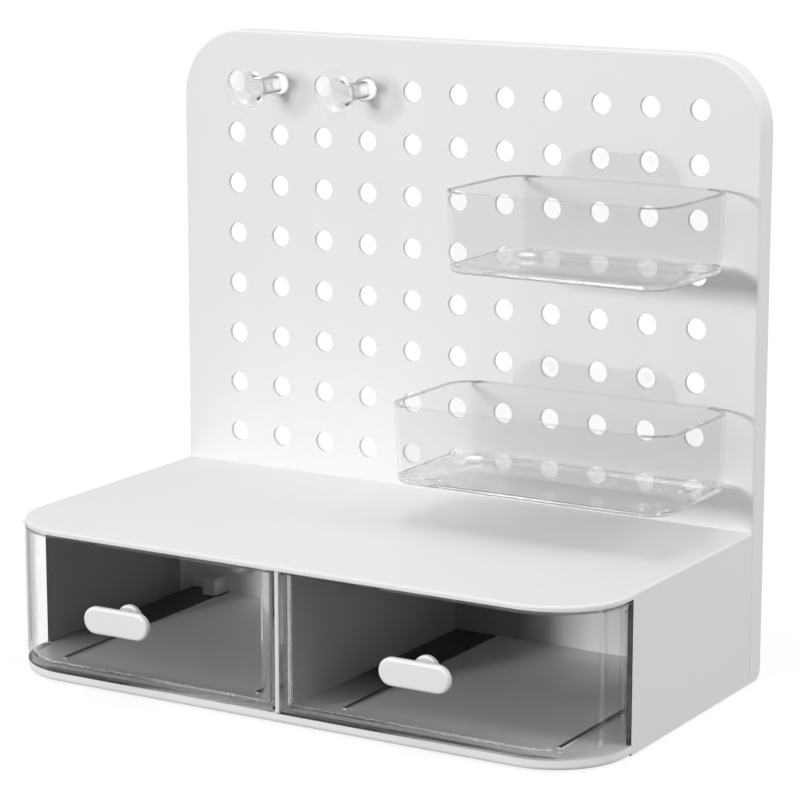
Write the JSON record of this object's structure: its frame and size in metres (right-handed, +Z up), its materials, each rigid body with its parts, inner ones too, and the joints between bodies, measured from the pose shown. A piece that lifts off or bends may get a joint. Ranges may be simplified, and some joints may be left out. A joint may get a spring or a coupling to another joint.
{
  "type": "desk organizer",
  "caption": "White desktop organizer: a perforated upright back over a low base with clear pull-out drawers, with clear plug-in baskets and hooks on the back.",
  "frame": {"origin": "middle of the footprint, handles included, on the surface it stands on", "axes": "+X to the right seen from the front, +Y to the back, +Z up"},
  "size_m": [0.311, 0.185, 0.2893],
  "materials": {
    "white_housing": "fine satin",
    "clear_trays": "polished clear",
    "clear_baskets": "polished clear",
    "clear_hooks": "polished clear",
    "white_handles": "smooth",
    "steel_screws": "zinc plated",
    "soft_feet": "matte"
  },
  "bodies": {
    "housing": {"pegboard_panel": "white_housing", "base_shell": "white_housing", "base_floor": "white_housing", "center_divider": "white_housing", "foot_front_left": "soft_feet", "foot_front_right": "soft_feet", "foot_rear_left": "soft_feet", "foot_rear_right": "soft_feet", "panel_screws": "steel_screws", "floor_screws": "steel_screws"},
    "left_drawer": {"left_drawer_tray": "clear_trays", "left_handle": "white_handles", "left_handle_screw": "steel_screws", "left_handle_washer": "steel_screws"},
    "right_drawer": {"right_drawer_tray": "clear_trays", "right_handle": "white_handles", "right_handle_screw": "steel_screws", "right_handle_washer": "steel_screws"},
    "basket_upper": {"upper_basket": "clear_baskets"},
    "basket_lower": {"lower_basket": "clear_baskets"},
    "hook_left": {"left_hook": "clear_hooks"},
    "hook_right": {"right_hook": "clear_hooks"}
  },
  "joints": [
    {"name": "left_drawer_slide", "type": "slide", "parent": "housing", "child": "left_drawer", "axis": [0, -1, 0], "range_m": [0, 0.11]},
    {"name": "right_drawer_slide", "type": "slide", "parent": "housing", "child": "right_drawer", "axis": [0, -1, 0], "range_m": [0, 0.11]},
    {"name": "upper_basket_pull", "type": "slide", "parent": "housing", "child": "basket_upper", "axis": [0, -1, 0], "range_m": [0, 0.03]},
    {"name": "lower_basket_pull", "type": "slide", "parent": "housing", "child": "basket_lower", "axis": [0, -1, 0], "range_m": [0, 0.03]},
    {"name": "left_hook_pull", "type": "slide", "parent": "housing", "child": "hook_left", "axis": [0, -1, 0], "range_m": [0, 0.03]},
    {"name": "right_hook_pull", "type": "slide", "parent": "housing", "child": "hook_right", "axis": [0, -1, 0], "range_m": [0, 0.03]}
  ]
}
